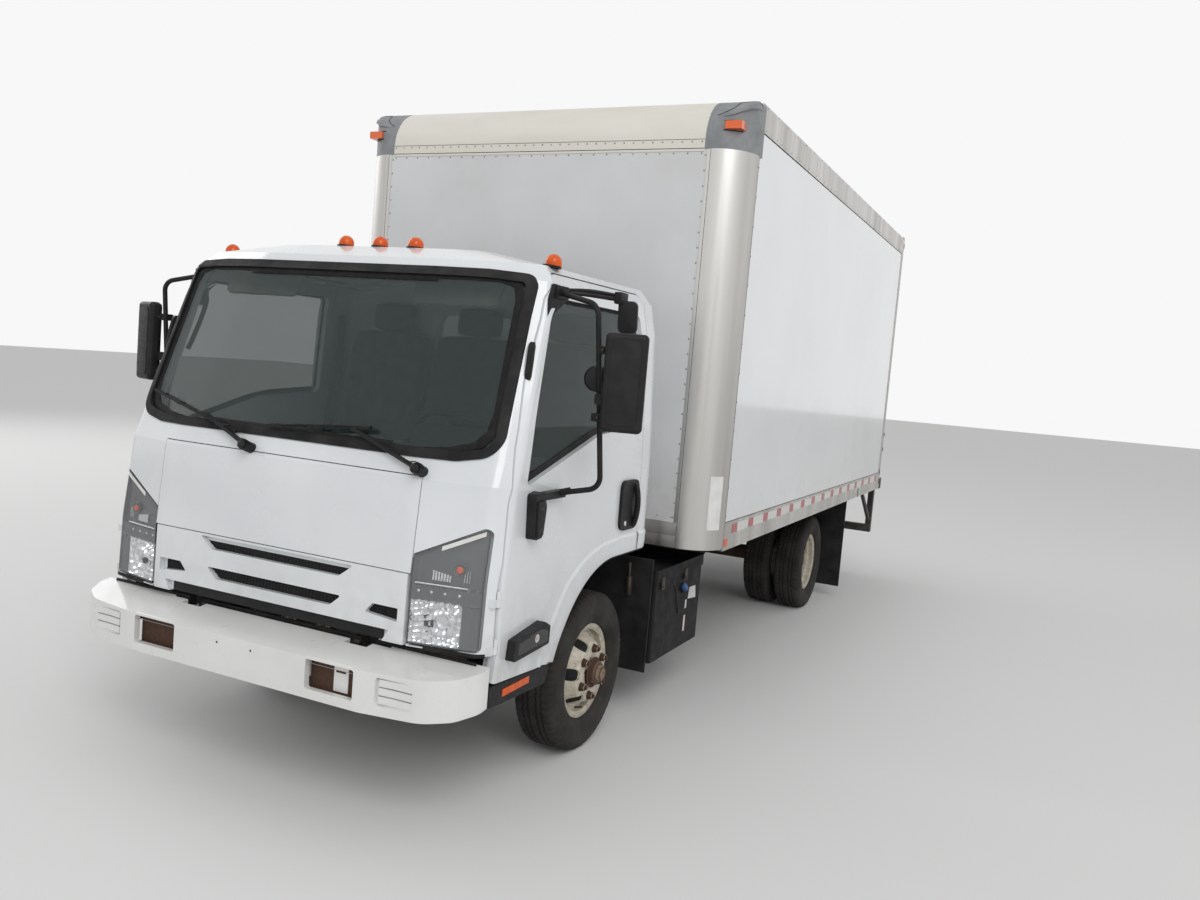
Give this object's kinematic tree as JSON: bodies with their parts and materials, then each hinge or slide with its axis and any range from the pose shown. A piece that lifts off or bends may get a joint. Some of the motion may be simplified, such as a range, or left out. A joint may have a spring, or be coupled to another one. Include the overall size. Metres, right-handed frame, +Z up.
{
  "type": "low-cab box truck",
  "caption": "Low-cab delivery truck with a tilting cab, opening doors, steered front wheels, twin rear wheels and a tall van body with a roll-up rear door.",
  "frame": {"origin": "middle of the footprint's bounding box, on the ground", "axes": "+Z up, the truck faces -Y, its left side is +X"},
  "size_m": [2.7388, 7.02, 3.243],
  "materials": {
    "cab_paint": "glossy white paint",
    "bumper_paint": "off-white paint",
    "body_panel": "glossy white panel",
    "front_wall_panel": "light grey-white panel",
    "cream_panel": "cream panel",
    "body_aluminium": "brushed",
    "frame_paint": "black paint",
    "black_steel": "black paint",
    "spring_steel": "dark scale",
    "exhaust_steel": "dull",
    "tank_paint": "black paint",
    "cast_iron": "rough",
    "black_plastic": "matte black",
    "grey_plastic": "matte grey",
    "amber_plastic": "amber lens",
    "red_plastic": "red lens",
    "lamp_glass": "clear lens",
    "tinted_glass": "tinted",
    "black_rubber": "matte",
    "seat_fabric": "woven grey",
    "wheel_paint": "dirty cream paint",
    "tyre": "matte"
  },
  "bodies": {
    "chassis": {"frame_rails": "frame_paint", "cross_members": "frame_paint", "spring_hangers": "frame_paint", "leaf_springs": "spring_steel", "axles": "cast_iron", "engine_block": "cast_iron", "driveline": "cast_iron", "exhaust": "exhaust_steel", "fuel_tank": "tank_paint", "battery_box": "black_plastic", "front_bumper": "bumper_paint", "body_floor": "frame_paint", "body_side_walls": "body_panel", "body_front_wall": "front_wall_panel", "body_rails": "body_aluminium", "body_corner_posts": "body_aluminium", "body_corner_caps": "grey_plastic", "body_front_top": "cream_panel", "body_roof": "body_aluminium", "rear_frame": "body_aluminium", "roll_up_door": "body_panel", "rear_bumper": "black_steel", "rear_guard": "black_steel", "mud_flaps": "black_rubber", "body_lamps": "red_plastic"},
    "cab": {"cab_front_frame": "cab_paint", "cab_roof": "cab_paint", "cab_back": "cab_paint", "front_panel": "cab_paint", "grille": "cab_paint", "grille_mesh": "black_plastic", "headlamps": "lamp_glass", "cab_glass": "tinted_glass", "windshield_gasket": "black_rubber", "cab_floor": "cab_paint", "seats": "seat_fabric", "dashboard": "grey_plastic", "steering_wheel": "black_plastic", "arch_liners": "black_plastic", "roof_marker_lamps": "amber_plastic", "wipers": "black_plastic"},
    "door_left": {"door_left": "cab_paint", "door_glass_left": "tinted_glass", "mirror_left": "black_plastic", "door_fittings_left": "black_plastic"},
    "door_right": {"door_right": "cab_paint", "door_glass_right": "tinted_glass", "mirror_right": "black_plastic", "door_fittings_right": "black_plastic"},
    "knuckle_left": {"knuckle_left": "cast_iron"},
    "knuckle_right": {"knuckle_right": "cast_iron"},
    "tie_rod": {"tie_rod": "black_steel"},
    "front_wheel_left": {"front_wheel_left": "wheel_paint", "front_tyre_left": "tyre"},
    "front_wheel_right": {"front_wheel_right": "wheel_paint", "front_tyre_right": "tyre"},
    "rear_wheel_left": {"rear_wheel_left": "wheel_paint", "rear_tyres_left": "tyre"},
    "rear_wheel_right": {"rear_wheel_right": "wheel_paint", "rear_tyres_right": "tyre"}
  },
  "joints": [
    {"name": "cab_tilt", "type": "hinge", "parent": "chassis", "child": "cab", "pos_m": [0, -3.315, 0.606], "axis": [1, 0, 0], "range_deg": [0, 45]},
    {"name": "door_left_hinge", "type": "hinge", "parent": "cab", "child": "door_left", "pos_m": [1.002, -3.232, 0.77], "axis": [0, 0, -1], "range_deg": [0, 70]},
    {"name": "door_right_hinge", "type": "hinge", "parent": "cab", "child": "door_right", "pos_m": [-1.002, -3.232, 0.77], "axis": [0, 0, 1], "range_deg": [0, 70]},
    {"name": "steer_left", "type": "hinge", "parent": "chassis", "child": "knuckle_left", "pos_m": [0.735, -2.23, 0.372], "axis": [0, 0, 1], "range_deg": [-35, 35]},
    {"name": "steer_right", "type": "hinge", "parent": "chassis", "child": "knuckle_right", "pos_m": [-0.735, -2.23, 0.372], "axis": [0, 0, 1], "range_deg": [-35, 35]},
    {"name": "tie_rod_ball", "type": "hinge", "parent": "knuckle_left", "child": "tie_rod", "pos_m": [0.735, -2.06, 0.268], "axis": [0, 0, 1], "range_deg": [-35, 35]},
    {"name": "front_spin_left", "type": "hinge", "parent": "knuckle_left", "child": "front_wheel_left", "pos_m": [0.8325, -2.23, 0.372], "axis": [1, 0, 0], "continuous": true},
    {"name": "front_spin_right", "type": "hinge", "parent": "knuckle_right", "child": "front_wheel_right", "pos_m": [-0.8325, -2.23, 0.372], "axis": [1, 0, 0], "continuous": true},
    {"name": "rear_spin_left", "type": "hinge", "parent": "chassis", "child": "rear_wheel_left", "pos_m": [0.825, 1.58, 0.372], "axis": [1, 0, 0], "continuous": true},
    {"name": "rear_spin_right", "type": "hinge", "parent": "chassis", "child": "rear_wheel_right", "pos_m": [-0.825, 1.58, 0.372], "axis": [1, 0, 0], "continuous": true}
  ],
  "couplings": [
    {"joint": "steer_right", "follows": "steer_left", "ratio": 1},
    {"joint": "tie_rod_ball", "follows": "steer_left", "ratio": -1}
  ]
}
